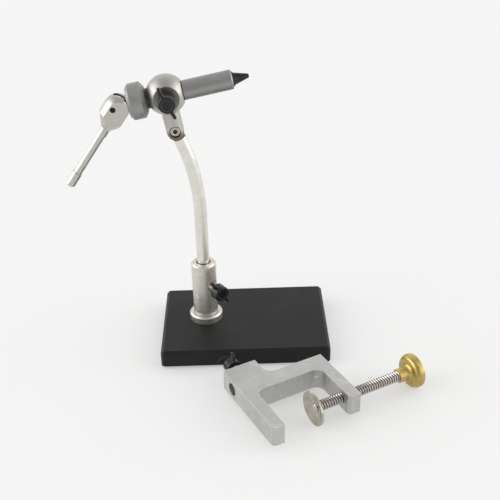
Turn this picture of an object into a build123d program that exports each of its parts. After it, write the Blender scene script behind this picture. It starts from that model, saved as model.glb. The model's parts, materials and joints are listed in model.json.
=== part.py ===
from build123d import *
import math
import os

# Fly tying vise on a pedestal base, with the table clamp of the set lying in front of it.
# Millimetres, +Z up. The origin lies on the table under the middle of the base plate,
# X runs right along the long side of the plate and Y runs to the back.

# Fits, as radial or face clearances
running_fit = 0.05
thread_fit = 0.04
seat_gap = 0.10

# Base plate and the rubber sheet under it
base_length = 127.0
base_width = 89.0
base_thickness = 12.7
base_corner_radius = 3.0
base_chamfer = 2.2
pad_thickness = 2.0
pad_inset = 3.5
pad_hole_clearance = 1.0

# Post that carries the stem, and the screw that holds it from below
post_x = -30.2
post_y = 4.0
post_diameter = 19.0
post_height = 49.5
post_rim = 1.3
post_flange_diameter = 25.4
post_flange_height = 5.6
post_flange_chamfer = 1.1
post_groove_depth = 0.5
post_groove_width = 0.9
post_bore_depth = 38.0
post_screw_diameter = 8.0
post_screw_head_diameter = 15.0
post_screw_head_height = 4.0
post_screw_socket = 5.0
post_screw_socket_depth = 3.0
post_screw_grip = 9.0
post_lock_height = 31.5
post_lock_azimuth = 36.0
post_lock_wing_angle = -58.0
post_lock_stand_off = 7.2

# Split liner between the post and the stem
liner_wall = 0.7
liner_slit = 0.9
liner_slit_angle = 90.0

# Bent stem with a half lap at its upper end
stem_diameter = 9.525
stem_in_post = 32.0
stem_straight = 42.5
stem_bend_radius = 158.0
stem_bend_angle = 22.2
stem_lap_to_pivot = 7.1
stem_end_chamfer = 0.8
lap_gap = 0.10

# Socket cap screw on which the head tilts
tilt_screw_diameter = 4.2
tilt_head_diameter = 7.0
tilt_head_height = 2.5
tilt_head_chamfer = 0.3
tilt_head_socket = 3.0
tilt_socket_depth = 1.7
tilt_counterbore_clearance = 0.7
tilt_floor = 2.4

# Ball head with its neck
vise_azimuth = 5.0
head_rise = 9.8
ball_radius = 14.1
ball_flat = 11.5
spot_face = 10.9
neck_diameter = 12.6
pivot_drop = 26.4
lap_end_clearance = 1.3
head_lock_wing_angle = -74.0
head_lock_stand_off = 4.6

# Rotary sleeve
journal_diameter = 10.4
barrel_diameter = 13.7
barrel_length = 34.6
barrel_chamfer = 0.8
washer_thickness = 0.6
tail_diameter = 9.8
tail_length = 12.3
draw_bore = 6.7
collet_bore = 9.3
collet_bore_wall = 0.5
mouth_diameter = 11.2
mouth_half_angle = 15.0
drag_ring_diameter = 14.2
drag_ring_width = 1.8

# Adjusting ring and thrust washer
ring_diameter = 25.4
ring_width = 12.7
ring_gap = 0.6
ring_front_chamfer = 2.6
ring_front_chamfer_depth = 3.8
ring_rear_chamfer = 2.1
ring_rear_chamfer_depth = 2.4
thrust_diameter = 18.0
thrust_width = 2.0
thrust_bore_clearance = 0.8
thrust_proud = 0.05

# Drawbar with the collet root, and the two collet jaws
collet_root_width = 4.0
collet_root_set_back = 2.0
jaw_root_gap = 0.25
jaw_slit = 0.4
jaw_shank_radius = 3.3
jaw_seat_gap = 0.5
jaw_collar_radius = 5.2
jaw_collar_width = 0.9
jaw_cone_radius = 4.4
jaw_tip_radius = 1.5
jaw_tip_chamfer = 0.5
jaw_cone_length = 10.6
draw_tongue_width = 3.4
draw_eye_radius = 4.2
draw_shoulder_clearance = 0.4

# Cam lever and its pin: a turned head with milled flats, whose end is the cam
cam_radius = 9.86
cam_offset = 1.5
cam_offset_angle = -62.5
cam_gap = 0.05
cam_slot_clearance = 0.25
cam_slot_swing_up = 43.0
cam_slot_swing_down = 8.0
lever_angle = 224.5
lever_length = 68.5
lever_offset = 3.8
lever_advance = 1.0
lever_head_radius = 10.3
lever_head_length = 8.3
lever_flats = 15.6
lever_side_flat = 6.8
lever_shoulder_radius = 3.5
lever_shoulder_start = 17.6
lever_grip_radius = 3.0
lever_grip_start = 23.2
lever_end_radius = 3.6
lever_end_start = 57.0
lever_end_round = 1.2
pin_diameter = 4.0
pin_wall = 0.75
pin_slit = 0.7
pin_recess = 0.8

# Wing screws, three alike
wing_hub_diameter = 10.6
wing_hub_length = 7.5
wing_hub_round = 1.0
wing_span = 25.0
wing_thickness = 2.8
wing_depth = 5.6
wing_set_back = 0.2
wing_round = 0.6
lock_diameter = 6.0
lock_plug_length = 1.8
lock_grip = 5.0

# Table clamp
clamp_x = 11.0
clamp_y = -128.0
clamp_angle = 27.4
clamp_length = 69.85
clamp_thickness = 15.9
clamp_arm = 9.0
clamp_boss_width = 25.4
clamp_boss_back = 59.0
clamp_bar_back = 41.0
clamp_throat_back = 27.5
clamp_left_reach = 12.0
clamp_right_reach = 10.5
clamp_outer_blend = 8.0
clamp_inner_blend = 6.35
clamp_tip_chamfer = 2.2
clamp_bore_back = 46.0
clamp_bore_clearance = 0.1
clamp_lock_stand_off = 7.3
clamp_lock_wing_angle = 90.0

# Clamp screw, pad and brass knob
clamp_screw_diameter = 6.35
clamp_pad_place = 40.3
clamp_pad_diameter = 25.0
clamp_pad_thickness = 1.4
clamp_pad_cup = 2.6
clamp_pad_flat_radius = 5.5
rivet_neck_diameter = 4.0
rivet_head_diameter = 6.4
rivet_head_height = 1.3
rivet_head_flat = 3.2
knob_collar_place = 108.4
knob_collar_diameter = 10.2
knob_collar_length = 4.0
knob_collar_round = 0.6
knob_neck_diameter = 8.0
knob_neck_length = 4.2
knob_neck_taper = 1.0
knob_neck_flare = 3.0
knob_disc_diameter = 25.0
knob_disc_width = 8.0
knob_disc_round = 2.2
knob_socket_depth = 8.0

# Places worked out from the sizes above
plate_top = pad_thickness + base_thickness
post_top = plate_top + post_height
post_floor = post_top - post_bore_depth
liner_inner = stem_diameter + 2 * running_fit
liner_outer = liner_inner + 2 * liner_wall
post_bore = liner_outer + 2 * running_fit
stem_foot = post_top - stem_in_post
bend_start = post_top + stem_straight
bend = math.radians(stem_bend_angle)
rise = math.radians(head_rise)
tip_x = -stem_bend_radius * (1 - math.cos(bend))
tip_z = bend_start + stem_bend_radius * math.sin(bend)
pivot_x = tip_x - stem_lap_to_pivot * math.sin(bend)
pivot_z = tip_z + stem_lap_to_pivot * math.cos(bend)
ball_x = pivot_x - pivot_drop * math.sin(rise)
ball_z = pivot_z + pivot_drop * math.cos(rise)
barrel_start = ball_flat + seat_gap + washer_thickness
barrel_end = barrel_start + barrel_length
mouth_depth = (mouth_diameter - collet_bore) / 2 / math.tan(math.radians(mouth_half_angle))
mouth_start = barrel_end - mouth_depth
collet_bore_start = barrel_start + collet_bore_wall
drag_front = -ball_flat - seat_gap
drag_rear = drag_front - drag_ring_width
ring_front = drag_rear - ring_gap
ring_rear = ring_front - ring_width
tail_end = drag_front - tail_length
thrust_rear = ring_rear - thrust_proud
thrust_front = thrust_rear + thrust_width
cam_center_x = cam_offset * math.cos(math.radians(cam_offset_angle))
cam_center_z = cam_offset * math.sin(math.radians(cam_offset_angle))
lever_lean = math.radians(lever_angle)
cam_along = cam_center_x * math.cos(lever_lean) + cam_center_z * math.sin(lever_lean)
pin_x = thrust_rear - cam_gap - cam_radius - cam_center_x
root_start = collet_bore_start + collet_root_set_back
root_end = root_start + collet_root_width
jaw_start = root_end + jaw_root_gap
jaw_tip = barrel_end + jaw_collar_width + jaw_cone_length
draw_radius = draw_bore / 2 - running_fit
cam_slot = draw_tongue_width + 2 * cam_slot_clearance
clamp_rest = max(clamp_pad_diameter, knob_disc_diameter, wing_span) / 2

# Frames that carry the sub-assemblies
vise_frame = Location((post_x, post_y, 0)) * Location((0, 0, 0), (0, 0, vise_azimuth))
tip_frame = vise_frame * Location((tip_x, 0, tip_z)) * Location((0, 0, 0), (0, -stem_bend_angle, 0))
head_frame = vise_frame * Location((ball_x, 0, ball_z)) * Location((0, 0, 0), (0, -head_rise, 0))
lever_frame = head_frame * Location((pin_x, 0, 0))
lever_turn = Location((0, 0, 0), (0, -lever_angle, 0))
front_facing = Location((0, 0, 0), (90, 0, 0))
back_facing = Location((0, 0, 0), (-90, 0, 0))
head_lock_frame = head_frame * front_facing
post_turn = Location((0, 0, 0), (0, 0, post_lock_azimuth))
post_lock_frame = Location((post_x, post_y, plate_top + post_lock_height)) * post_turn * front_facing
clamp_frame = Location((clamp_x, clamp_y, clamp_rest)) * Location((0, 0, 0), (0, 0, clamp_angle))
clamp_lock_frame = clamp_frame * Location((clamp_boss_width / 2, clamp_bore_back, 0)) * back_facing
along_x = Location((0, 0, 0), (0, 90, 0))

FROM_BELOW = (Align.CENTER, Align.CENTER, Align.MIN)


def turned_x(profile):
    """Solid turned about X from (x, radius) points."""
    return revolve(make_face(Polyline(*[(x, r, 0) for x, r in profile], close=True)), Axis.X)


def turned_z(profile):
    """Solid turned about Z from (radius, z) points."""
    return revolve(make_face(Polyline(*[(r, 0, z) for r, z in profile], close=True)), Axis.Z)


def rod(diameter, start, end):
    """Round bar on Z between two heights."""
    return Pos(0, 0, start) * Cylinder(diameter / 2, end - start, align=FROM_BELOW)


def cross_rod(diameter, length):
    """Round bar on Y, centred on the origin."""
    return front_facing * Cylinder(diameter / 2, length)


# Pedestal base
def base_plate():
    """Steel plate with a bevelled top edge and a countersunk hole under the post."""
    plate = extrude(RectangleRounded(base_length, base_width, base_corner_radius), base_thickness)
    plate = chamfer(plate.faces().sort_by(Axis.Z)[-1].edges(), base_chamfer)
    plate = Pos(0, 0, pad_thickness) * plate
    return plate - Pos(post_x, post_y, 0) * post_screw_shape(thread_fit)


def post_screw_shape(clearance):
    """Countersunk screw without its socket, with the clearance all round."""
    shank = post_screw_diameter / 2 + clearance
    head = post_screw_head_diameter / 2 + clearance
    head_top = pad_thickness + post_screw_head_height + clearance
    end = plate_top + post_screw_grip + clearance
    profile = [(0, pad_thickness), (head, pad_thickness), (shank, head_top), (shank, end), (0, end)]
    return turned_z(profile)


def post_screw():
    """Countersunk screw with a hexagon socket, driven from under the plate."""
    socket = extrude(RegularPolygon(post_screw_socket / 2, 6, major_radius=False), post_screw_socket_depth)
    return Pos(post_x, post_y, 0) * (post_screw_shape(0) - Pos(0, 0, pad_thickness) * socket)


def rubber_pad():
    """Rubber sheet under the plate, with a hole for the key of the screw."""
    sheet = RectangleRounded(base_length - 2 * pad_inset, base_width - 2 * pad_inset, base_corner_radius)
    hole = Pos(post_x, post_y) * Circle(post_screw_head_diameter / 2 + pad_hole_clearance)
    return extrude(sheet - hole, pad_thickness)


def stem_post():
    """Turned post with a flange, an undercut above it and a bevelled mouth."""
    flange = post_flange_diameter / 2
    body = post_diameter / 2
    top = post_flange_height
    groove = body - post_groove_depth
    profile = [
        (0, 0),
        (flange, 0),
        (flange, top - post_flange_chamfer),
        (flange - post_flange_chamfer, top),
        (groove, top),
        (groove, top + post_groove_width),
        (body, top + post_groove_width),
        (body, post_height - post_rim),
        (body - post_rim, post_height),
        (0, post_height),
    ]
    post = Pos(post_x, post_y, plate_top) * turned_z(profile)
    bore = Pos(post_x, post_y, 0) * rod(post_bore, post_floor, post_top)
    screw_hole = Pos(post_x, post_y, 0) * post_screw_shape(thread_fit)
    return post - bore - screw_hole - lock_hole(post_lock_frame, post_diameter)


# Stem
def stem_liner():
    """Thin split bush that the lock screw closes on the stem."""
    bush = rod(liner_outer, post_floor + seat_gap, post_top) - rod(liner_inner, post_floor, post_top)
    slit = Pos(liner_outer / 2, 0, post_floor) * Box(liner_outer, liner_slit, post_bore_depth, align=FROM_BELOW)
    slit_turn = Location((0, 0, 0), (0, 0, post_lock_azimuth + liner_slit_angle))
    return Location((post_x, post_y, 0)) * slit_turn * (bush - slit)


def stem():
    """Bent round bar whose upper end is halved to lap with the neck of the head."""
    straight = rod(stem_diameter, stem_foot, bend_start)
    straight = chamfer(straight.faces().sort_by(Axis.Z)[0].edges(), stem_end_chamfer)
    section = Pos(0, 0, bend_start) * Circle(stem_diameter / 2)
    bend_axis = Axis((-stem_bend_radius, 0, bend_start), (0, -1, 0))
    curve = revolve(section, bend_axis, stem_bend_angle)
    tip = rod(stem_diameter, 0, stem_lap_to_pivot) + Pos(0, 0, stem_lap_to_pivot) * Sphere(stem_diameter / 2)
    lap = Pos(0, lap_gap / 2, 0) * Box(
        stem_diameter * 2, stem_diameter, stem_diameter * 3, align=(Align.CENTER, Align.MAX, Align.MIN)
    )
    hole = Pos(0, 0, stem_lap_to_pivot) * cross_rod(tilt_screw_diameter + 2 * thread_fit, stem_diameter * 2)
    return vise_frame * (straight + curve) + tip_frame * (tip - lap - hole)


def tilt_screw():
    """Socket cap screw through the neck into the stem, the pivot of the head."""
    under_head = tilt_floor + seat_gap
    head_top = under_head + tilt_head_height
    shank = rod(tilt_screw_diameter, -stem_diameter / 2 + seat_gap, under_head)
    head = rod(tilt_head_diameter, under_head, head_top)
    head = chamfer(head.faces().sort_by(Axis.Z)[-1].edges(), tilt_head_chamfer)
    socket = extrude(RegularPolygon(tilt_head_socket / 2, 6, major_radius=False), tilt_socket_depth)
    socket = Pos(0, 0, head_top - tilt_socket_depth) * socket
    return tip_frame * Location((0, 0, stem_lap_to_pivot)) * front_facing * (shank + head - socket)


# Head
def head_body():
    """Ball with two flats, a spot face for the lock screw and a halved neck below."""
    ball = Sphere(ball_radius) & Box(2 * ball_flat, 3 * ball_radius, 3 * ball_radius)
    spot = Pos(0, -spot_face, 0) * Box(
        3 * ball_radius, ball_radius, 3 * ball_radius, align=(Align.CENTER, Align.MAX, Align.CENTER)
    )
    neck_radius = neck_diameter / 2
    neck = rod(neck_diameter, -pivot_drop - neck_radius, 0)
    blade = Pos(0, 0, -pivot_drop) * cross_rod(neck_diameter, neck_diameter)
    blade += Box(neck_diameter, neck_diameter, pivot_drop, align=(Align.CENTER, Align.CENTER, Align.MAX))
    head = (ball - spot) + (neck & blade)
    lap_height = neck_radius + stem_diameter / 2 + lap_end_clearance
    lap = Pos(0, -lap_gap / 2, -pivot_drop - neck_radius) * Box(
        2 * neck_diameter, neck_diameter, lap_height, align=(Align.CENTER, Align.MIN, Align.MIN)
    )
    journal = along_x * Cylinder(journal_diameter / 2 + running_fit, 3 * ball_radius)
    pivot = Pos(0, 0, -pivot_drop)
    pivot_hole = pivot * cross_rod(tilt_screw_diameter + 2 * running_fit, 2 * neck_diameter)
    sink_radius = tilt_head_diameter / 2 + tilt_counterbore_clearance
    sink = pivot * front_facing * rod(2 * sink_radius, tilt_floor, neck_diameter)
    return head_frame * (head - lap - journal - pivot_hole - sink) - lock_hole(head_lock_frame, 2 * ball_radius)


# Rotary sleeve
def sleeve():
    """Barrel, journal and tail in one turned piece, with a conical mouth for the collet."""
    barrel = barrel_diameter / 2
    profile = [
        (tail_end, draw_bore / 2),
        (tail_end, tail_diameter / 2),
        (drag_front, tail_diameter / 2),
        (drag_front, journal_diameter / 2),
        (barrel_start, journal_diameter / 2),
        (barrel_start, barrel),
        (barrel_end - barrel_chamfer, barrel),
        (barrel_end, barrel - barrel_chamfer),
        (barrel_end, mouth_diameter / 2),
        (mouth_start, collet_bore / 2),
        (collet_bore_start, collet_bore / 2),
        (collet_bore_start, draw_bore / 2),
    ]
    return head_frame * turned_x(profile)


def front_washer():
    """Thin washer between the ball and the shoulder of the sleeve."""
    inner = journal_diameter / 2 + running_fit
    outer = barrel_diameter / 2
    start = barrel_start - washer_thickness
    return head_frame * turned_x([(start, inner), (start, outer), (barrel_start, outer), (barrel_start, inner)])


def drag_ring():
    """Ring that keeps the sleeve in the head and sets the drag of its rotation."""
    inner = tail_diameter / 2 + thread_fit
    outer = drag_ring_diameter / 2
    return head_frame * turned_x([(drag_rear, inner), (drag_rear, outer), (drag_front, outer), (drag_front, inner)])


# Adjusting ring and thrust washer
def adjusting_ring():
    """Ring threaded on the tail of the sleeve, bevelled at both ends and recessed behind."""
    outer = ring_diameter / 2
    bore = tail_diameter / 2 + thread_fit
    recess = thrust_diameter / 2 + running_fit
    floor = thrust_front + seat_gap
    profile = [
        (ring_front, bore),
        (ring_front, outer - ring_front_chamfer_depth),
        (ring_front - ring_front_chamfer, outer),
        (ring_rear + ring_rear_chamfer, outer),
        (ring_rear, outer - ring_rear_chamfer_depth),
        (ring_rear, recess),
        (floor, recess),
        (floor, bore),
    ]
    return head_frame * turned_x(profile)


def thrust_washer():
    """Hard washer in the back of the adjusting ring, on which the cam bears."""
    inner = draw_bore / 2 + thrust_bore_clearance
    outer = thrust_diameter / 2
    return head_frame * turned_x(
        [(thrust_rear, inner), (thrust_rear, outer), (thrust_front, outer), (thrust_front, inner)]
    )


# Draw collet
def drawbar():
    """Rod with the collet root in front and a flat eye for the cam pin behind."""
    shoulder = pin_x + cam_radius + cam_offset + draw_shoulder_clearance
    profile = [
        (shoulder, 0),
        (shoulder, draw_radius),
        (root_start, draw_radius),
        (root_start, collet_bore / 2 - running_fit),
        (root_end, collet_bore / 2 - running_fit),
        (root_end, 0),
    ]
    rod_and_root = turned_x(profile)
    tongue = turned_x([(pin_x, 0), (pin_x, draw_radius), (shoulder, draw_radius), (shoulder, 0)])
    tongue &= Box(-2 * pin_x, draw_tongue_width, 2 * draw_bore)
    eye = Pos(pin_x, 0, 0) * cross_rod(2 * draw_eye_radius, draw_tongue_width)
    hole = Pos(pin_x, 0, 0) * cross_rod(pin_diameter + 2 * running_fit, draw_tongue_width * 2)
    return head_frame * (rod_and_root + tongue + eye - hole)


def jaw(side):
    """One half of the collet: shank, seat cone, collar and nose. Side is 1 above and -1 below."""
    mouth = mouth_diameter / 2 - jaw_seat_gap
    seat_start_radius = collet_bore / 2 - jaw_seat_gap
    neck_start = mouth_start - (seat_start_radius - jaw_shank_radius)
    collar_end = barrel_end + jaw_collar_width
    profile = [
        (jaw_start, 0),
        (jaw_start, jaw_shank_radius),
        (neck_start, jaw_shank_radius),
        (mouth_start, seat_start_radius),
        (barrel_end, mouth),
        (barrel_end, jaw_collar_radius),
        (collar_end, jaw_collar_radius),
        (collar_end, jaw_cone_radius),
        (jaw_tip - jaw_tip_chamfer, jaw_tip_radius),
        (jaw_tip, jaw_tip_radius - jaw_tip_chamfer),
        (jaw_tip, 0),
    ]
    half = Pos(0, 0, side * (jaw_slit / 2 + barrel_diameter)) * Box(
        2 * jaw_tip, 2 * barrel_diameter, 2 * barrel_diameter
    )
    return head_frame * (turned_x(profile) & half)


# Cam lever
def cam_lever():
    """Turned lever whose head is milled flat on three sides, rounded to the cam and slotted."""
    head = Circle(lever_head_radius) & Pos(-lever_head_radius, 0) * Rectangle(
        2 * lever_head_radius, lever_head_radius, align=(Align.CENTER, Align.MIN)
    )
    end = lever_length - lever_end_round
    outline = [
        (0, 0),
        (0, lever_head_radius),
        (lever_head_length, lever_head_radius),
        (lever_shoulder_start, lever_shoulder_radius),
        (lever_grip_start, lever_shoulder_radius),
        (lever_grip_start, lever_grip_radius),
        (lever_end_start, lever_grip_radius),
        (lever_end_start, lever_end_radius),
        (end, lever_end_radius),
        (lever_length, lever_end_radius - lever_end_round),
        (lever_length, 0),
    ]
    turned = revolve(head, Axis.X) + turned_x(outline)
    cam = Location((cam_center_x, 0, cam_center_z)) * cross_rod(2 * cam_radius, lever_flats)
    side = lever_offset + lever_side_flat
    shank = Pos(cam_along, 0, side) * Box(
        2 * lever_length, lever_flats, 4 * lever_head_radius, align=(Align.MIN, Align.CENTER, Align.MAX)
    )
    nose = Pos(0, 0, side) * Box(
        4 * lever_head_radius, lever_flats, 4 * lever_head_radius, align=(Align.CENTER, Align.CENTER, Align.MAX)
    )
    body = lever_turn * Pos(-lever_advance, 0, lever_offset) * turned
    body &= lever_turn * shank + (cam & lever_turn * nose)
    slot = make_face(make_hull(slot_circles().edges()))
    slot = front_facing * extrude(slot, cam_slot / 2, both=True)
    hole = cross_rod(pin_diameter + 2 * running_fit, 2 * lever_flats)
    return lever_frame * (body - slot - hole)


def slot_circles():
    """Circles whose hull is the slot that the eye of the drawbar swings in."""
    reach = cam_radius + cam_offset + draw_radius
    wide = draw_radius + 2 * cam_slot_clearance
    circles = Sketch() + Circle(draw_eye_radius + 2 * cam_slot_clearance)
    for angle in (cam_slot_swing_up, -cam_slot_swing_down):
        turn = math.radians(angle)
        circles += Pos(reach * math.cos(turn), reach * math.sin(turn)) * Circle(wide)
    return circles


def lever_pin():
    """Slit spring pin through the cam and the eye of the drawbar."""
    length = lever_flats - 2 * pin_recess
    tube = cross_rod(pin_diameter, length) - cross_rod(pin_diameter - 2 * pin_wall, 2 * length)
    slit = Box(pin_diameter, 2 * length, pin_slit, align=(Align.MAX, Align.CENTER, Align.CENTER))
    return lever_frame * (tube - slit)


# Wing screws
def lock_reach(frame_radius):
    """Heights of the plug's two ends on a lock screw that presses on a bar of this radius."""
    start = frame_radius + seat_gap
    return start, start + lock_plug_length


def lock_hole(frame, depth):
    """Through hole for a lock screw, from the axis outwards."""
    return frame * rod(lock_diameter + 2 * thread_fit, 0, depth)


def lock_plug(frame, bar_radius):
    """Soft plug under a lock screw, which keeps it from scoring the bar."""
    start, end = lock_reach(bar_radius)
    return frame * rod(lock_diameter, start, end)


def lock_stud(frame, bar_radius, hub_start):
    """Threaded stud moulded into the hub of a wing screw."""
    start = lock_reach(bar_radius)[1]
    return frame * rod(lock_diameter, start, hub_start + lock_grip)


def wing_knob(frame, hub_start, wing_angle):
    """Moulded hub with two round-edged paddle wings, on its stud."""
    hub = rod(wing_hub_diameter, hub_start, hub_start + wing_hub_length)
    hub = fillet(hub.faces().sort_by(Axis.Z)[-1].edges(), wing_hub_round)
    paddle = SlotOverall(wing_span, wing_depth)
    wings = extrude(paddle, wing_thickness / 2, both=True)
    wings = fillet(wings.faces().filter_by(Axis.Z).edges(), wing_round)
    wings = Pos(0, 0, hub_start + wing_set_back + wing_depth / 2) * front_facing * wings
    stud = rod(lock_diameter + 2 * thread_fit, hub_start, hub_start + lock_grip + thread_fit)
    return frame * Location((0, 0, 0), (0, 0, wing_angle)) * (hub + wings - stud)


# Table clamp
def clamp_body():
    """C-shaped block with a stem bore across its boss and a screw hole in one arm."""
    right = clamp_length
    left_tip = -clamp_left_reach
    right_tip = -clamp_right_reach
    outline = Polyline(
        (clamp_tip_chamfer, left_tip),
        (0, left_tip + clamp_tip_chamfer),
        (0, clamp_boss_back),
        (clamp_boss_width, clamp_boss_back),
        (clamp_boss_width, clamp_bar_back),
        (right, clamp_bar_back),
        (right, right_tip),
        (right - clamp_arm + clamp_tip_chamfer, right_tip),
        (right - clamp_arm, right_tip + clamp_tip_chamfer),
        (right - clamp_arm, clamp_throat_back),
        (clamp_arm, clamp_throat_back),
        (clamp_arm, left_tip),
        close=True,
    )
    block = extrude(make_face(outline), clamp_thickness / 2, both=True)
    notch = (clamp_boss_width, clamp_bar_back, 0)
    block = fillet(block.edges().sort_by_distance(notch)[0], clamp_outer_blend)
    for x in (clamp_arm, right - clamp_arm):
        corner = (x, clamp_throat_back, 0)
        block = fillet(block.edges().sort_by_distance(corner)[0], clamp_inner_blend)
    bore_radius = stem_diameter / 2 + clamp_bore_clearance
    bore = Pos(clamp_boss_width / 2, clamp_bore_back, 0) * along_x * Cylinder(bore_radius, clamp_boss_width * 2)
    screw_hole = Pos(right - clamp_arm / 2, 0, 0) * along_x * Cylinder(
        clamp_screw_diameter / 2 + thread_fit, clamp_arm * 2
    )
    lock = lock_hole(clamp_lock_frame, clamp_boss_back)
    return clamp_frame * (block - bore - screw_hole) - lock


def clamp_pad():
    """Cupped disc that swivels on the end of the clamp screw."""
    face = clamp_pad_place
    rim = face - clamp_pad_cup
    outer = clamp_pad_diameter / 2
    hole = rivet_neck_diameter / 2 + running_fit
    profile = [
        (face, hole),
        (face, clamp_pad_flat_radius),
        (rim, outer),
        (rim + clamp_pad_thickness, outer),
        (face + clamp_pad_thickness, clamp_pad_flat_radius),
        (face + clamp_pad_thickness, hole),
    ]
    return clamp_frame * turned_x(profile)


def clamp_screw():
    """Screw with a riveted neck at the pad and its other end in the brass knob."""
    shoulder = clamp_pad_place + clamp_pad_thickness + seat_gap
    rivet = clamp_pad_place - seat_gap
    end = knob_collar_place + knob_socket_depth
    profile = [
        (rivet - rivet_head_height, 0),
        (rivet - rivet_head_height, rivet_head_flat / 2),
        (rivet - rivet_head_height / 2, rivet_head_diameter / 2),
        (rivet, rivet_head_diameter / 2),
        (rivet, rivet_neck_diameter / 2),
        (shoulder, rivet_neck_diameter / 2),
        (shoulder, clamp_screw_diameter / 2),
        (end, clamp_screw_diameter / 2),
        (end, 0),
    ]
    return clamp_frame * turned_x(profile)


def clamp_knob():
    """Turned brass knob: collar, flared neck and thick disc with round rims."""
    collar_end = knob_collar_place + knob_collar_length
    disc = collar_end + knob_neck_length
    end = disc + knob_disc_width
    radius = knob_disc_diameter / 2
    socket = clamp_screw_diameter / 2 + thread_fit
    floor = knob_collar_place + knob_socket_depth + thread_fit
    profile = [
        (knob_collar_place, socket),
        (knob_collar_place, knob_collar_diameter / 2),
        (collar_end, knob_collar_diameter / 2),
        (collar_end + knob_neck_taper, knob_neck_diameter / 2),
        (disc, knob_neck_diameter / 2),
        (disc, radius),
        (end, radius),
        (end, 0),
        (floor, 0),
        (floor, socket),
    ]
    knob = turned_x(profile)
    rounds = [
        (knob_collar_place, knob_collar_diameter / 2, knob_collar_round),
        (disc, knob_neck_diameter / 2, knob_neck_flare),
        (disc, radius, knob_disc_round),
        (end, radius, knob_disc_round),
    ]
    for place, edge_radius, size in rounds:
        circles = knob.edges().filter_by(GeomType.CIRCLE)
        knob = fillet(circles.sort_by_distance((place, 0, edge_radius))[0], size)
    return clamp_frame * knob


head_hub = spot_face + head_lock_stand_off
post_hub = post_diameter / 2 + post_lock_stand_off
clamp_hub = clamp_boss_back - clamp_bore_back + clamp_lock_stand_off
journal_radius = journal_diameter / 2
liner_radius = liner_outer / 2
clamp_bar_radius = stem_diameter / 2 + clamp_bore_clearance

nodes = {
    "base_plate": base_plate(),
    "rubber_pad": rubber_pad(),
    "stem_post": stem_post(),
    "post_screw": post_screw(),
    "stem_liner": stem_liner(),
    "stem": stem(),
    "tilt_screw": tilt_screw(),
    "head_body": head_body(),
    "sleeve": sleeve(),
    "front_washer": front_washer(),
    "drag_ring": drag_ring(),
    "adjusting_ring": adjusting_ring(),
    "thrust_washer": thrust_washer(),
    "drawbar": drawbar(),
    "upper_jaw": jaw(1),
    "lower_jaw": jaw(-1),
    "cam_lever": cam_lever(),
    "lever_pin": lever_pin(),
    "head_lock_plug": lock_plug(head_lock_frame, journal_radius),
    "head_lock_stud": lock_stud(head_lock_frame, journal_radius, head_hub),
    "head_lock_knob": wing_knob(head_lock_frame, head_hub, head_lock_wing_angle),
    "post_lock_plug": lock_plug(post_lock_frame, liner_radius),
    "post_lock_stud": lock_stud(post_lock_frame, liner_radius, post_hub),
    "post_lock_knob": wing_knob(post_lock_frame, post_hub, post_lock_wing_angle),
    "clamp_body": clamp_body(),
    "clamp_pad": clamp_pad(),
    "clamp_screw": clamp_screw(),
    "clamp_knob": clamp_knob(),
    "clamp_lock_plug": lock_plug(clamp_lock_frame, clamp_bar_radius),
    "clamp_lock_stud": lock_stud(clamp_lock_frame, clamp_bar_radius, clamp_hub),
    "clamp_lock_knob": wing_knob(clamp_lock_frame, clamp_hub, clamp_lock_wing_angle),
}

os.makedirs("parts", exist_ok=True)
for name, shape in nodes.items():
    export_step(shape, f"parts/{name}.step")
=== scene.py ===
import json
import logging
import math
from collections.abc import Callable
from dataclasses import dataclass, replace
from enum import Enum
from functools import cached_property

import bpy
import numpy as np
from mathutils import Matrix


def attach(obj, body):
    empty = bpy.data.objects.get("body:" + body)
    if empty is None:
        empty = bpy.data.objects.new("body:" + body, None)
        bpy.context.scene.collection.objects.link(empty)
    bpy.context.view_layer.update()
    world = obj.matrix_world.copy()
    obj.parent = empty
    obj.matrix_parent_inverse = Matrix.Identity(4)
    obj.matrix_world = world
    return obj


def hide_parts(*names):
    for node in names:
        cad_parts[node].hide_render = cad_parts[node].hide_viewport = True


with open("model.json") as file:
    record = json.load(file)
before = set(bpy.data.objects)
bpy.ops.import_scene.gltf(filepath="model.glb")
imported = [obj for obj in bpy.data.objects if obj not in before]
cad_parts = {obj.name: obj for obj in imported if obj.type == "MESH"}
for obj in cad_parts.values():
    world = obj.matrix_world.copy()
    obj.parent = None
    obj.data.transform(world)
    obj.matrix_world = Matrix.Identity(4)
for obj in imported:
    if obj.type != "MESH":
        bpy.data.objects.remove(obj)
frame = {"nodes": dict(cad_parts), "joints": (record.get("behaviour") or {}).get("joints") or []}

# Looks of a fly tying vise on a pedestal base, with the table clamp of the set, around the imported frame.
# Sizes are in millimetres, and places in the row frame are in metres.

log = logging.getLogger("vise")

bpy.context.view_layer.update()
JOINTS = {joint["name"]: joint for joint in frame["joints"]}
MM = 0.001
WELD = 1e-8
CAD_WELD = 10 * WELD
UP = np.array((0.0, 0.0, 1.0))
RIGHT = np.array((1.0, 0.0, 0.0))
SMOOTH_BELOW = math.radians(32.0)
FLAT_BELOW = math.radians(0.5)
BEVEL_SEGMENTS = 2

Colour = tuple[float, float, float]
Piece = bpy.types.Object
Material = bpy.types.Material
Group = bpy.types.NodeTree
Node = bpy.types.Node
Socket = bpy.types.NodeSocket


class Seam(Enum):
    """Which edges of a grid of points are joined: (first row to last, first column to last)."""

    NONE = (False, False)
    AROUND = (False, True)
    BOTH = (True, True)


class Measure(Enum):
    """What a patch of a finish is measured along, in a piece's own axes."""

    X = 0
    Z = 2
    RADIUS = 3


class Effect(Enum):
    """Shared surface effects, each one shader node group."""

    GRAIN = "fine_grain"
    MOTTLE = "mottle"
    TURNING = "turned_lines"
    EDGES = "edge_mask"
    SCRATCHES = "scratches"


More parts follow.
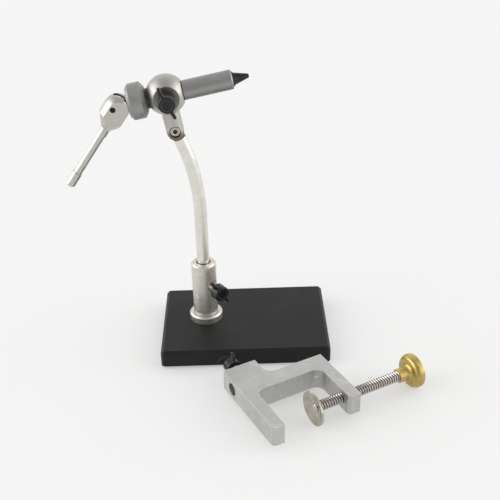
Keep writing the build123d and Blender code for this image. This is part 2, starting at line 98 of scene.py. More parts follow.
@dataclass(frozen=True, eq=False)
class Place:
    """Right-handed axes in the row frame, whose z runs along a piece's own axis."""

    origin: np.ndarray
    x: np.ndarray
    y: np.ndarray
    z: np.ndarray

    @classmethod
    def on_axis(cls, origin: np.ndarray, axis: np.ndarray, across: np.ndarray) -> "Place":
        """Axes with z along an axis and x as near as it can be to another direction.

        Args:
            origin: Point on the axis, in metres.
            axis: Direction of z.
            across: Direction that x follows.

        Returns:
            The place.
        """
        z = axis / np.linalg.norm(axis)
        x = across - (across @ z) * z
        x = x / np.linalg.norm(x)
        return cls(origin, x, np.cross(z, x), z)

    def turned(self, turn: float) -> "Place":
        """The same place turned about its own z, by an angle in radians."""
        x = math.cos(turn) * self.x + math.sin(turn) * self.y
        return Place(self.origin, x, np.cross(self.z, x), self.z)

    def to_row(self, local: np.ndarray) -> np.ndarray:
        """Local millimetres as metres in the row frame."""
        return self.origin + local * MM @ np.stack((self.x, self.y, self.z))

    def to_local(self, points: np.ndarray) -> np.ndarray:
        """Metres in the row frame as local millimetres."""
        return (points - self.origin) @ np.stack((self.x, self.y, self.z)).T / MM

    def rotation(self) -> tuple[float, float, float]:
        """The place's turn from the row frame, as Euler angles."""
        return tuple(Matrix((self.x, self.y, self.z)).transposed().to_euler())

    def matrix(self) -> Matrix:
        """The place as an object's matrix.

        Returns:
            The matrix.
        """
        rows = np.eye(4)
        rows[:3, :3] = np.stack((self.x, self.y, self.z), -1)
        rows[:3, 3] = self.origin
        return Matrix(rows.tolist())


def joint_place(name: str, across: np.ndarray, outward: bool = False) -> Place:
    """Axes on a joint of the frame.

    Args:
        name: The joint's name.
        across: Direction that x follows.
        outward: Whether z runs against the joint's axis.

    Returns:
        The place, with its origin at the joint.
    """
    joint = JOINTS[name]
    axis = np.array(joint["axis"], float)
    return Place.on_axis(np.array(joint["pos_m"], float), -axis if outward else axis, across)


def node_points(name: str) -> np.ndarray:
    """Vertices of a CAD node.

    Args:
        name: The node's name.

    Returns:
        Array of (x, y, z), in metres.
    """
    mesh = frame["nodes"][name].data
    points = np.zeros(len(mesh.vertices) * 3)
    mesh.vertices.foreach_get("co", points)
    return points.reshape(-1, 3)


def node_span(name: str, place: Place) -> tuple[float, float]:
    """Where a CAD node starts and ends along a place's z, in millimetres."""
    along = place.to_local(node_points(name))[:, 2]
    return float(along.min()), float(along.max())


def rounded(corners: list[tuple[float, float, float]], steps: int = 7) -> np.ndarray:
    """Profile whose corners are arcs.

    Each corner is replaced by an arc of its radius that is tangent to both sides: the arc's centre lies on
    the bisector, and its points turn evenly from one tangent point to the other.

    Args:
        corners: (first, second, radius) of each corner. The ends have radius 0.
        steps: Points on each arc.

    Returns:
        Points as an array of two columns.
    """
    table = np.array(corners, float)
    points, radii = table[:, :2], table[1:-1, 2:]
    before = points[:-2] - points[1:-1]
    after = points[2:] - points[1:-1]
    before /= np.linalg.norm(before, axis=1, keepdims=True)
    after /= np.linalg.norm(after, axis=1, keepdims=True)
    half = np.arccos(np.clip((before * after).sum(1, keepdims=True), -1, 1)) / 2
    bisector = before + after
    bisector /= np.linalg.norm(bisector, axis=1, keepdims=True)
    centre = points[1:-1] + bisector * radii / np.sin(half)
    start = points[1:-1] + before * radii / np.tan(half) - centre
    end = points[1:-1] + after * radii / np.tan(half) - centre
    share = np.linspace(0, 1, steps)[None, :, None]
    sweep = (math.pi - 2 * half)[:, None, :]
    leaving = np.sin((1 - share) * sweep) * start[:, None]
    coming = np.sin(share * sweep) * end[:, None]
    arcs = (leaving + coming) / np.sin(sweep)
    inner = (centre[:, None] + arcs).reshape(-1, 2)
    return np.concatenate((points[:1], inner, points[-1:]))


def polar(radius: np.ndarray, angle: np.ndarray, along: np.ndarray) -> np.ndarray:
    """Points from their radius, their angle and their place along z."""
    return np.stack(np.broadcast_arrays(radius * np.cos(angle), radius * np.sin(angle), along), -1)


def lathe(profile: np.ndarray, place: Place, segments: int = 96) -> np.ndarray:
    """Grid of a turned surface: each (along, radius) of the profile is carried round the place's z.

    Args:
        profile: Array of (along, radius), in millimetres.
        place: Axes of the piece.
        segments: Points round the axis.

    Returns:
        Points as (profile, segments, 3), in metres.
    """
    angle = np.linspace(0, math.tau, segments, endpoint=False)
    return place.to_row(polar(profile[:, 1:], angle, profile[:, :1]))


@dataclass(frozen=True)
class Thread:
    """An outside screw thread. Its crest, its falling flank and its root are shares of the pitch."""

    major: float
    pitch: float
    depth: float
    crest: float = 0.125
    flank: float = 0.3125
    root: float = 0.25
    # shade_from and shade set where and how strongly painted shade darkens the roots
    shade_from: float = 0.2
    shade: float = 0.8

    def grid(self, place: Place, start: float, end: float, segments: int = 40) -> np.ndarray:
        """Grid of a threaded bar with flat ends.

        The rows are helices: a point's place along the axis is its row's share of the pitch plus one pitch
        for each turn, cut off at the ends. Its radius is the thread's own section at that place, so the rows
        past an end fall together there.

        Args:
            place: Axes of the bar.
            start: Where it starts along z, in millimetres.
            end: Where it ends.
            segments: Points in a turn.

        Returns:
            Points as (rows, segments + 1, 3), in metres. The last column lies on the next turn's first.
        """
        phase = np.cumsum((0.0, self.crest, self.flank, self.root))
        height = np.array((1.0, 1.0, 0.0, 0.0, 1.0))
        turns = np.arange(-1, math.ceil((end - start) / self.pitch) + 1)
        share = (turns[:, None] + phase).reshape(-1, 1)
        angle = np.linspace(0, math.tau, segments + 1)
        along = np.clip(start + self.pitch * (share + angle / math.tau), start, end)
        place_in_turn = np.mod((along - start) / self.pitch - angle / math.tau + WELD, 1.0) - WELD
        lift = np.interp(place_in_turn, np.append(phase, 1.0), height)
        radius = self.major / 2 - self.depth * (1 - lift)
        local = polar(radius, angle, along)
        caps = np.zeros((2, 1, segments + 1, 3))
        caps[0, ..., 2] = start
        caps[1, ..., 2] = end
        return place.to_row(np.concatenate((caps[0], local, caps[1])))

    def dress(self, metal: "Metal", shade: Colour, start: float) -> "Metal":
        """The bar's finish, with painted shade in the roots of the thread.

        Args:
            metal: The bare finish.
            shade: The colour of the painted shade in the roots.
            start: Where the thread starts along z, in millimetres.

        Returns:
            The finish with the painted shade.
        """
        outer = self.major / 2
        # painted shade in the roots of the thread, where shade falls between the flanks
        root = Window(Measure.RADIUS, outer - self.shade_from * self.depth, outer - self.depth)
        bar = Window(Measure.Z, start, start + self.pitch / 2)
        return replace(metal, patches=(Patch(shade, self.shade, (root, bar)),))


def grid_quads(rows: int, columns: int, seam: Seam) -> np.ndarray:
    """Corner indices of the faces between neighbouring points of a grid.

    Args:
        rows: Points down the grid.
        columns: Points across it.
        seam: Which of its edges are joined.

    Returns:
        Four indices for each face.
    """
    down, across = seam.value
    i, j = np.indices((rows - 1 + down, columns - 1 + across))
    below, right = (i + 1) % rows, (j + 1) % columns
    corners = (i * columns + j, below * columns + j, below * columns + right, i * columns + right)
    return np.stack(corners, -1).reshape(-1, 4)


def joined(points: np.ndarray, apart: float) -> tuple[np.ndarray, np.ndarray]:
    """Joins points that lie together.

    Args:
        points: Array of (x, y, z), in metres.
        apart: How near to each other they lie.

    Returns:
        The points that are left, and the new index of each old one.
    """
    keys = np.round(points / apart).astype(np.int64)
    first, inverse = np.unique(keys, axis=0, return_index=True, return_inverse=True)[1:]
    return points[first], inverse.reshape(-1)


def welded(points: np.ndarray, quads: np.ndarray) -> tuple[np.ndarray, np.ndarray, np.ndarray]:
    """Joins points that lie together and turns the surface outwards.

    Args:
        points: Array of (x, y, z).
        quads: Corner indices.

    Returns:
        The points that are left, the four-sided faces, and the faces that lost a side.
    """
    points, index = joined(points, WELD)
    quads = index[quads]
    differs = quads != np.roll(quads, -1, axis=1)
    sides = differs.sum(1)
    folded = (quads[:, 0] == quads[:, 2]) | (quads[:, 1] == quads[:, 3])
    three = sides == 3
    triangles = quads[three][differs[three]].reshape(-1, 3)
    quads = quads[(sides == 4) & ~folded]
    every = np.concatenate((triangles, quads[:, :3], quads[:, (0, 2, 3)]))
    a, b, c = (points - points.mean(0))[every].transpose(1, 0, 2)
    if (a * np.cross(b, c)).sum() < 0:
        quads, triangles = quads[:, ::-1], triangles[:, ::-1]
    return points, quads, triangles


def new_piece(name: str, grids: list[tuple[np.ndarray, Seam]]) -> Piece:
    """Object of one or more closed surfaces.

    Args:
        name: The piece's name.
        grids: Points as (rows, columns, 3) in metres, with the seam of each.

    Returns:
        The object, at the origin, with smooth faces and sharp corners.
    """
    points, faces, count = [], [], 0
    for grid, seam in grids:
        shell, quads, triangles = welded(grid.reshape(-1, 3), grid_quads(*grid.shape[:2], seam))
        points.append(shell)
        faces += (quads + count).tolist() + (triangles + count).tolist()
        count += len(shell)
    mesh = bpy.data.meshes.new(name)
    mesh.from_pydata(np.concatenate(points), [], faces)
    return shaded_piece(name, mesh)


def bored(points: np.ndarray, place: Place, reach: float, radius: float) -> np.ndarray:
    """Opens a bore: points nearer to a place's z than the reach go straight out to the radius.

    Args:
        points: Array of (x, y, z), in metres.
        place: Axes of the bore.
        reach: How far from the axis its wall lies at most, in millimetres.
        radius: The bore's new radius.

    Returns:
        The points, in metres.
    """
    local = place.to_local(points)
    apart = np.hypot(local[:, 0], local[:, 1])[:, None]
    local[:, :2] *= np.where(apart < reach, radius / apart, 1.0)
    return place.to_row(local)


def cad_piece(name: str, node: str, points: np.ndarray, bevel: float) -> Piece:
    """Copy of a CAD node with its points joined and its edges broken by a small bevel.

    Args:
        name: The piece's name.
        node: The CAD node.
        points: The node's vertices, in metres.
        bevel: Width of the bevel, in millimetres.

    Returns:
        The object, at the origin.
    """
    source = frame["nodes"][node].data
    source.calc_loop_triangles()
    corners = np.zeros(len(source.loop_triangles) * 3, np.int32)
    source.loop_triangles.foreach_get("vertices", corners)
    points, index = joined(points, CAD_WELD)
    mesh = bpy.data.meshes.new(name)
    mesh.from_pydata(points, [], index[corners].reshape(-1, 3).tolist())
    piece = shaded_piece(name, mesh)
    flat = piece.modifiers.new("flat_faces", "DECIMATE")
    flat.decimate_type = "DISSOLVE"
    flat.angle_limit = FLAT_BELOW
    edge = piece.modifiers.new("broken_edges", "BEVEL")
    edge.width = bevel * MM
    edge.segments = BEVEL_SEGMENTS
    edge.limit_method = "ANGLE"
    edge.angle_limit = SMOOTH_BELOW
    edge.harden_normals = True
    return piece


def shaded_piece(name: str, mesh: bpy.types.Mesh) -> Piece:
    """Object of a mesh, with smooth faces, sharp corners and normals that follow the large faces.

    Args:
        name: The piece's name.
        mesh: Its mesh.

    Returns:
        The object, at the origin.
    """
    mesh.shade_smooth()
    mesh.set_sharp_from_angle(angle=SMOOTH_BELOW)
    piece = bpy.data.objects.new(name, mesh)
    bpy.context.scene.collection.objects.link(piece)
    normals = piece.modifiers.new("face_weight", "WEIGHTED_NORMAL")
    normals.keep_sharp = True
    return piece


def place_piece(piece: Piece, body: str, material: Material, node: str) -> None:
    """Puts a new piece on its body, in place of a CAD node, with its finish.

    Args:
        piece: The new object.
        body: The CAD body that it moves with.
        material: Its finish.
        node: The CAD node that it stands for.
    """
    piece.data.materials.clear()
    piece.data.materials.append(material)
    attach(piece, body)
    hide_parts(node)
    log.info("piece %s rides on %s", piece.name, body)


class Tree:
    """Adds nodes to one node tree and wires them."""

    def __init__(self, tree: Group) -> None:
        """Starts from an empty tree."""
        self.tree = tree
        tree.nodes.clear()

    def fill(self, node: Node, values: dict) -> None:
        """Sets a node's inputs.

        Args:
            node: The node.
            values: The inputs by name or number, each a value or a socket to link.
        """
        for key, value in values.items():
            if isinstance(value, Socket):
                self.tree.links.new(value, node.inputs[key])
            else:
                node.inputs[key].default_value = value

    def add(self, kind: str, values: dict, **settings: object) -> Node:
        """Adds a node.

        Args:
            kind: The node's type.
            values: Its inputs, as fill takes them.
            settings: Its properties.

        Returns:
            The node.
        """
        node = self.tree.nodes.new(kind)
        for key, value in settings.items():
            setattr(node, key, value)
        self.fill(node, values)
        return node

    def math(self, operation: str, first: object, second: object) -> Socket:
        """Result of a math node on two values or sockets."""
        return self.add("ShaderNodeMath", {0: first, 1: second}, operation=operation).outputs[0]

    def mix(self, factor: object, first: object, second: object, blend: str = "MIX") -> Socket:
        """Colour between two colours."""
        values = {0: factor, 6: first, 7: second}
        return self.add("ShaderNodeMix", values, data_type="RGBA", blend_type=blend).outputs[2]

    def between(
        self, value: object, low: object, high: object, from_low: float = 0.0, from_high: float = 1.0
    ) -> Socket:
        """Value carried from one range to another, and held inside it."""
        values = {"Value": value, "From Min": from_low, "From Max": from_high, "To Min": low, "To Max": high}
        return self.add("ShaderNodeMapRange", values, clamp=True).outputs[0]

    def noise(self, vector: object, scale: object, detail: float) -> Socket:
        """Value of a noise texture."""
        return self.add("ShaderNodeTexNoise", {"Vector": vector, "Scale": scale, "Detail": detail}).outputs[0]

    def dot(self, first: object, second: object) -> Socket:
        """Dot product of two vectors."""
        values = {0: first, 1: second}
        return self.add("ShaderNodeVectorMath", values, operation="DOT_PRODUCT").outputs["Value"]

    def radius(self, parts: Node) -> Socket:
        """Distance from the z axis, for a vector that is taken apart."""
        across = self.add("ShaderNodeCombineXYZ", {0: parts.outputs[0], 1: parts.outputs[1]})
        return self.add("ShaderNodeVectorMath", {0: across.outputs[0]}, operation="LENGTH").outputs["Value"]


@dataclass
class Effects:
    """The shared effects, built once and placed in each material with its own values."""

    grain_detail: float = 2.0
    cloud_detail: float = 5.0
    cloud_range: tuple[float, float] = (0.3, 0.7)
    ring_detail: float = 3.0
    edge_samples: int = 4
    scratch_turn: tuple[float, float, float] = (0.0, 0.0, 0.5)
    scratch_draw: tuple[float, float, float] = (0.22, 6.0, 1.0)
    scratch_detail: float = 1.0
    scratch_middle: float = 0.5
    cover_scale: float = 0.7

    def __post_init__(self) -> None:
        """Builds each node group from its maker, its output and its inputs with their defaults."""
        table = {
            Effect.GRAIN: (self.grain, "Height", {"Vector": None, "Scale": 2000.0}),
            Effect.MOTTLE: (self.mottle, "Value", {"Vector": None, "Scale": 60.0, "Low": 0.9, "High": 1.1}),
            Effect.TURNING: (self.turning, "Height", {"Vector": None, "Lines": 3000.0}),
            Effect.EDGES: (self.edges, "Mask", {"Radius": 0.0005, "Gain": 3.0}),
            Effect.SCRATCHES: (
                self.scratches, "Mask", {"Vector": None, "Scale": 60.0, "Width": 0.006, "Cover": 0.4},
            ),
        }
        self.groups = {effect: self.group(effect, *row) for effect, row in table.items()}

    @staticmethod
    def group(effect: Effect, maker: Callable, output: str, inputs: dict[str, float | None]) -> Group:
        """Makes one node group.

        Args:
            effect: Which effect it is.
            maker: What adds its nodes and returns their result.
            output: The name of what it puts out.
            inputs: Its numbers with their defaults, and its vectors with None.

        Returns:
            The group.
        """
        group = bpy.data.node_groups.new(effect.value, "ShaderNodeTree")
        tree = Tree(group)
        for name, value in inputs.items():
            kind = "NodeSocketVector" if value is None else "NodeSocketFloat"
            socket = group.interface.new_socket(name=name, in_out="INPUT", socket_type=kind)
            if value is not None:
                socket.default_value = value
        group.interface.new_socket(name=output, in_out="OUTPUT", socket_type="NodeSocketFloat")
        source = tree.add("NodeGroupInput", {})
        given = {name: source.outputs[name] for name in inputs}
        tree.add("NodeGroupOutput", {0: maker(tree, given)})
        return group

    def grain(self, tree: Tree, given: dict) -> Socket:
        """Fine even grain, as of blasting or moulding."""
        return tree.noise(given["Vector"], given["Scale"], self.grain_detail)

    def mottle(self, tree: Tree, given: dict) -> Socket:
        """Soft cloudy change between a low and a high value."""
        cloud = tree.noise(given["Vector"], given["Scale"], self.cloud_detail)
        return tree.between(cloud, given["Low"], given["High"], *self.cloud_range)

    def turning(self, tree: Tree, given: dict) -> Socket:
        """Fine rings left by a lathe: noise that changes along z and with the radius, not round the axis.

        Args:
            tree: The group's tree.
            given: The group's inputs by name.

        Returns:
            The height.
        """
        parts = tree.add("ShaderNodeSeparateXYZ", {0: given["Vector"]})
        rings = tree.add("ShaderNodeCombineXYZ", {0: parts.outputs[2], 1: tree.radius(parts)})
        return tree.noise(rings.outputs[0], given["Lines"], self.ring_detail)

    def edges(self, tree: Tree, given: dict) -> Socket:
        """Mask of the corners, where the normal of a rounded edge leaves the face's own.

        Args:
            tree: The group's tree.
            given: The group's inputs by name.

        Returns:
            The mask.
        """
        soft = tree.add("ShaderNodeBevel", {"Radius": given["Radius"]}, samples=self.edge_samples)
        plain = tree.add("ShaderNodeNewGeometry", {})
        lost = tree.math("SUBTRACT", 1.0, tree.dot(soft.outputs[0], plain.outputs["Normal"]))
        return tree.between(tree.math("MULTIPLY", lost, given["Gain"]), 0.0, 1.0)

    def scratches(self, tree: Tree, given: dict) -> Socket:
        """Thin lines where a drawn-out noise passes its middle, kept to a few patches.

        Args:
            tree: The group's tree.
            given: The group's inputs by name.

        Returns:
            The mask.
        """
        values = {"Vector": given["Vector"], "Rotation": self.scratch_turn, "Scale": self.scratch_draw}
        drawn = tree.add("ShaderNodeMapping", values).outputs[0]
        line = tree.noise(drawn, given["Scale"], self.scratch_detail)
        apart = tree.math("ABSOLUTE", tree.math("SUBTRACT", line, self.scratch_middle), 0.0)
        thin = tree.math("LESS_THAN", apart, given["Width"])
        patch = tree.noise(given["Vector"], tree.math("MULTIPLY", given["Scale"], self.cover_scale), 0.0)
        shown = tree.math("LESS_THAN", patch, given["Cover"])
        return tree.math("MULTIPLY", thin, shown)


class Paint(Tree):
    """Tree of a new material, with its shader, the shared effects and a piece's own coordinates."""

    def __init__(self, name: str, effects: Effects | None = None, place: Place | None = None) -> None:
        """Makes the material with one principled shader.

        Args:
            name: The material's name.
            effects: The shared effects, where it uses any.
            place: The axes of a turned piece.
        """
        self.material = bpy.data.materials.new(name)
        self.material.use_nodes = True
        super().__init__(self.material.node_tree)
        self.effects = effects
        self.place = place
        self.shader = self.add("ShaderNodeBsdfPrincipled", {})
        self.output = self.add("ShaderNodeOutputMaterial", {"Surface": self.shader.outputs[0]})

    @cached_property
    def vector(self) -> Socket:
        """Object coordinates, carried into the piece's own axes where it has a place."""
        vector = self.add("ShaderNodeTexCoord", {}).outputs["Object"]
        if self.place is None:
            return vector
        values = {"Vector": vector, "Location": tuple(self.place.origin), "Rotation": self.place.rotation()}
        return self.add("ShaderNodeMapping", values, vector_type="TEXTURE").outputs[0]

    def use(self, effect: Effect, values: dict) -> Socket:
        """Places an effect on the piece's coordinates.

        Args:
            effect: Which effect it is.
            values: Its inputs, but for the coordinates.

        Returns:
            What it puts out.
        """
        node = self.add("ShaderNodeGroup", {}, node_tree=self.effects.groups[effect])
        coordinates = {"Vector": self.vector} if "Vector" in node.inputs else {}
        self.fill(node, coordinates | values)
        return node.outputs[0]


def rgba(colour: Colour) -> tuple[float, float, float, float]:
    """Colour with a full alpha."""
    return (*colour, 1.0)


@dataclass(frozen=True)
class Window:
    """A range of a measure, in millimetres: nothing before its start, and all from its end on."""

    measure: Measure
    start: float
    end: float

    def mask(self, paint: Paint) -> Socket:
        """How far a point lies inside, from 0 to 1.

        Args:
            paint: The material's tree.

        Returns:
            The mask.
        """
        parts = paint.add("ShaderNodeSeparateXYZ", {0: paint.vector})
        if self.measure is Measure.RADIUS:
            reach = paint.radius(parts)
        else:
            reach = parts.outputs[self.measure.value]
        return paint.between(reach, 0.0, 1.0, self.start * MM, self.end * MM)


@dataclass(frozen=True)
class Patch:
    """A part of a piece painted in a colour of its own, here always painted shade: where all its windows are
    open.
    """

    colour: Colour
    strength: float
    windows: tuple[Window, ...]

    def over(self, paint: Paint, colour: Socket) -> Socket:
        """Lays the patch over a colour.

        Args:
            paint: The material's tree.
            colour: The colour under it.

        Returns:
            The colour with the patch.
        """
        share = self.strength
        for window in self.windows:
            share = paint.math("MULTIPLY", window.mask(paint), share)
        return paint.mix(share, colour, rgba(self.colour))


@dataclass(frozen=True)
class Finish:
    """A surface: its colour, its sheen, what making and use have left on it, and painted highlight and shade.
    """

    colour: Colour
    roughness: float
    spread: float = 0.05
    cloud: float = 0.06
    cloud_scale: float = 70.0
    grain: float = 0.0
    grain_scale: float = 2600.0
    lines: float = 0.0
    line_scale: float = 3500.0
    bump_depth: float = 0.05
    # paler edges: partly wear, partly a painted highlight
    edge_wear_and_highlight_colour: Colour = (0.8, 0.79, 0.77)
    edge: float = 0.25
    edge_radius: float = 0.4
    edge_gain: float = 4.0
    stain_colour: Colour = (0.2, 0.16, 0.1)
    stain: float = 0.0
    stain_scale: float = 3.1
    mark_colour: Colour = (0.95, 0.95, 0.94)
    marks: float = 0.0
    mark_scale: float = 2.0
    mark_width: float = 0.008
    mark_cover: float = 0.42
    metallic: float = 1.0
    specular: float = 0.5
    patches: tuple[Patch, ...] = ()

    def material(self, name: str, effects: Effects, place: Place | None = None) -> Material:
        """Builds the material, whose roughness follows the cloud of its colour.

        Args:
            name: The material's name.
            effects: The shared effects.
            place: The axes of a turned piece.

        Returns:
            The material.
        """
        paint = Paint(name, effects, place)
        cloud = paint.use(Effect.MOTTLE, {"Scale": self.cloud_scale, "Low": 0.0, "High": 1.0})
        paint.fill(paint.shader, {
            "Base Color": self.tint(paint, cloud),
            "Roughness": paint.between(cloud, self.roughness - self.spread, self.roughness + self.spread),
            "Normal": self.bump(paint),
            "Metallic": self.metallic,
            "Specular IOR Level": self.specular,
        })
        return paint.material

    def tint(self, paint: Paint, cloud: Socket) -> Socket:
        """Colour: clouded, stained in a second cloud, scratched, with patches of painted shade, and paler
        edges of wear and painted highlight.

        Args:
            paint: The material's tree.
            cloud: The cloud, from 0 to 1.

        Returns:
            The colour.
        """
        tone = paint.between(cloud, 1.0 - self.cloud, 1.0 + self.cloud)
        colour = paint.mix(1.0, rgba(self.colour), tone, "MULTIPLY")
        if self.stain:
            values = {"Scale": self.stain_scale * self.cloud_scale, "Low": 0.0, "High": self.stain}
            colour = paint.mix(paint.use(Effect.MOTTLE, values), colour, rgba(self.stain_colour))
        if self.marks:
            scale = self.mark_scale * self.cloud_scale
            values = {"Scale": scale, "Width": self.mark_width, "Cover": self.mark_cover}
            mark = paint.math("MULTIPLY", paint.use(Effect.SCRATCHES, values), self.marks)
            colour = paint.mix(mark, colour, rgba(self.mark_colour))
        for patch in self.patches:
            colour = patch.over(paint, colour)
        # paler edges, partly wear and partly a painted highlight on the rounded corners
        edge_wear_and_highlight = paint.use(Effect.EDGES, {"Radius": self.edge_radius * MM, "Gain": self.edge_gain})
        return paint.mix(paint.math("MULTIPLY", edge_wear_and_highlight, self.edge), colour, rgba(self.edge_wear_and_highlight_colour))

    def bump(self, paint: Paint) -> Socket:
        """Normal with the grain, and with lathe rings where there are any.

        Args:
            paint: The material's tree.

        Returns:
            The normal.
        """
        height = paint.math("MULTIPLY", paint.use(Effect.GRAIN, {"Scale": self.grain_scale}), self.grain)
        if self.lines:
            ring = paint.use(Effect.TURNING, {"Lines": self.line_scale})
            height = paint.math("ADD", height, paint.math("MULTIPLY", ring, self.lines))
        values = {"Height": height, "Strength": 1.0, "Distance": self.bump_depth * MM}
        return paint.add("ShaderNodeBump", values).outputs[0]


@dataclass(frozen=True)
class Metal(Finish):
    """A bare metal: turned, satin or blasted."""


@dataclass(frozen=True)
class Coat(Finish):
    """A non-metal surface: powder coat, moulded plastic or rubber."""

    spread: float = 0.06
    cloud: float = 0.15
    cloud_scale: float = 40.0
    grain: float = 0.5
    grain_scale: float = 1500.0
    bump_depth: float = 0.1
    edge_wear_and_highlight_colour: Colour = (0.08, 0.08, 0.08)
    edge_radius: float = 0.5
    mark_colour: Colour = (0.1, 0.1, 0.1)
    mark_scale: float = 1.5
    mark_width: float = 0.006
    mark_cover: float = 0.36
    metallic: float = 0.0


@dataclass(frozen=True)
class Finishes:
    """Every finish on the vise and its clamp."""

    powder: Coat = Coat(
        (0.012, 0.012, 0.0125), 0.48, marks=0.4, edge=0.12, edge_radius=0.8, grain=0.45, specular=0.22,
    )
    rubber: Coat = Coat((0.02, 0.02, 0.02), 0.8, grain=0.6, grain_scale=2200.0, specular=0.3, edge=0.1)
    # the plastic's pale edges are a painted highlight
    plastic: Coat = Coat(
        (0.007, 0.007, 0.008), 0.2, grain=0.2, grain_scale=2600.0, cloud_scale=120.0,
        edge=0.9, edge_wear_and_highlight_colour=(0.17, 0.17, 0.175), edge_radius=0.55, specular=0.36,
    )
    acetal: Coat = Coat((0.01, 0.01, 0.011), 0.42, grain=0.1, cloud_scale=150.0, edge=0.15)
    bright_steel: Metal = Metal((0.78, 0.76, 0.7), 0.2, lines=1.6, line_scale=6000.0, stain=0.1)
    post_steel: Metal = Metal(
        (0.66, 0.64, 0.57), 0.25, lines=2.6, line_scale=6000.0, stain=0.12, metallic=0.82,
    )
    # the pad's pale rim is a painted highlight
    pad_steel: Metal = Metal(
        (0.6, 0.57, 0.5), 0.22, lines=0.3, stain=0.45, stain_colour=(0.2, 0.17, 0.12), edge=0.6,
    )
    satin_steel: Metal = Metal((0.47, 0.455, 0.425), 0.42, grain=0.4, lines=0.15)
    lever_steel: Metal = Metal((0.53, 0.515, 0.475), 0.3, grain=0.2, lines=0.2)
    blasted: Metal = Metal(
        (0.335, 0.332, 0.324), 0.48, grain=1.4, grain_scale=3200.0, edge=0.35, edge_wear_and_highlight_colour=(0.55, 0.55, 0.54),
    )
    # the clamp's near-white edges are a painted highlight
    clamp_metal: Metal = Metal(
        (0.55, 0.55, 0.54), 0.5, grain=1.1, cloud=0.08, marks=0.5, stain=0.12,
        edge=0.75, edge_wear_and_highlight_colour=(0.95, 0.95, 0.94), edge_radius=0.7,
    )
    collet_black: Metal = Metal(
        (0.06, 0.056, 0.075), 0.26, lines=4.0, line_scale=900.0, stain=0.6,
        stain_colour=(0.012, 0.011, 0.014), edge=0.2, edge_wear_and_highlight_colour=(0.3, 0.3, 0.31),
    )
    black_steel: Metal = Metal(
        (0.045, 0.045, 0.052), 0.36, grain=0.3, lines=0.3, edge=0.2, edge_wear_and_highlight_colour=(0.3, 0.3, 0.31),
    )
    brass: Metal = Metal(
        (0.58, 0.445, 0.15), 0.32, lines=0.12, stain=0.4, stain_colour=(0.2, 0.13, 0.04),
        edge_wear_and_highlight_colour=(0.8, 0.62, 0.25),
    )
    screw_steel: Metal = Metal((0.66, 0.61, 0.585), 0.26, stain=0.15, edge=0.0)
    # painted shade laid into recesses: the tilt screw's hex socket and the thread roots
    recess_painted_shade: Colour = (0.035, 0.03, 0.026)
    # painted shade for the head's spot face, standing in for a dark reflection
    spot_face_painted_shade: Colour = (0.2, 0.193, 0.178)
    # painted shade for the neck's lower end under the tilt screw
    neck_end_painted_shade: Colour = (0.13, 0.1, 0.066)


@dataclass
class Assembly:
    """A sub-assembly, with the finishes and the effects that its pieces are dressed in."""

    finishes: Finishes
    effects: Effects

    def dress(self, finish: Finish, name: str, place: Place | None, *nodes: str) -> None:
        """Gives CAD nodes a finish.

        Args:
            finish: The finish.
            name: Its material's name.
            place: The axes of a turned piece.
            nodes: The nodes.
        """
        material = finish.material(name, self.effects, place)
        for node in nodes:
            materials = frame["nodes"][node].data.materials
            materials.clear()
            materials.append(material)
            log.info("node %s dressed in %s", node, name)


@dataclass
class Pedestal(Assembly):
    """Base plate with the rubber sheet, the post and the screw that holds it."""

    length: float = 127.0
    width: float = 89.0
    thickness: float = 12.7
    corner: float = 3.0
    chamfer: float = 2.2
    edge_round: float = 0.5
    top_share: float = 1 / 3
    foot_round: float = 0.4
    sheet: float = 2.0
    screw_hole: float = 4.04
    sink_radius: float = 7.54
    sink_depth: float = 4.04
    inner_inset: float = 2.7
    corner_points: int = 9
    side_points: int = 24

    def __post_init__(self) -> None:
        """Takes the post's axis from the frame."""
        self.post = joint_place("stem_swivel", RIGHT)

    def outline(self) -> tuple[np.ndarray, np.ndarray]:
        """Round rectangle, whose point at an inset lies at its centre + (corner - inset) * its direction.

        Returns:
            The centres and the directions, as arrays of two columns.
        """
        turn = np.linspace(0, math.pi / 2, self.corner_points)
        angle = np.arange(4)[:, None] * math.pi / 2 + turn
        direction = np.stack((np.cos(angle), np.sin(angle)), -1)
        half = np.array((self.length / 2 - self.corner, self.width / 2 - self.corner))
        centre = half * np.array(((1, 1), (-1, 1), (-1, -1), (1, -1)))
        share = np.linspace(0, 1, self.side_points + 2)[1:-1, None]
        side = centre[:, None] * (1 - share) + np.roll(centre, -1, axis=0)[:, None] * share
        held = np.repeat(direction[:, -1:], self.side_points, axis=1)
        centres = np.concatenate((np.repeat(centre[:, None], self.corner_points, axis=1), side), axis=1)
        return centres.reshape(-1, 2), np.concatenate((direction, held), axis=1).reshape(-1, 2)

    def plate(self) -> Piece:
        """Plate as a closed ring: its edge's section goes round the outline, then in to the hole and down.

        Returns:
            The piece.
        """
        low, top = self.sheet, self.sheet + self.thickness
        section = rounded([
            (self.inner_inset, low, 0.0),
            (0.0, low, self.foot_round),
            (0.0, top - self.chamfer, self.edge_round),
            (self.chamfer, top, self.edge_round * self.top_share),
            (self.inner_inset, top, 0.0),
        ])
        centres, directions = self.outline()
        edge = centres + (self.corner - section[:, :1, None]) * directions
        axis = self.post.origin[:2] / MM
        spoke = centres - axis
        spoke = spoke / np.linalg.norm(spoke, axis=1, keepdims=True)
        sink = low + self.sink_depth
        hole = np.array(((self.screw_hole, top), (self.screw_hole, sink), (self.sink_radius, low)))
        ring = axis + hole[:, :1, None] * spoke
        flat = np.concatenate((edge, ring))
        height = np.concatenate((section[:, 1], hole[:, 1]))[:, None, None]
        points = np.concatenate((flat, np.broadcast_to(height, (*flat.shape[:2], 1))), axis=-1)
        return new_piece("base_plate_coated", [(points * MM, Seam.BOTH)])

    def build(self) -> None:
        """Builds the plate and dresses the pedestal."""
        coat = self.finishes.powder.material("powder_coat", self.effects)
        place_piece(self.plate(), "base", coat, "base_plate")
        self.dress(self.finishes.rubber, "rubber_sheet", None, "rubber_pad")
        self.dress(self.finishes.post_steel, "post_steel", self.post, "stem_post")
        self.dress(self.finishes.black_steel, "post_screw_steel", self.post, "post_screw")


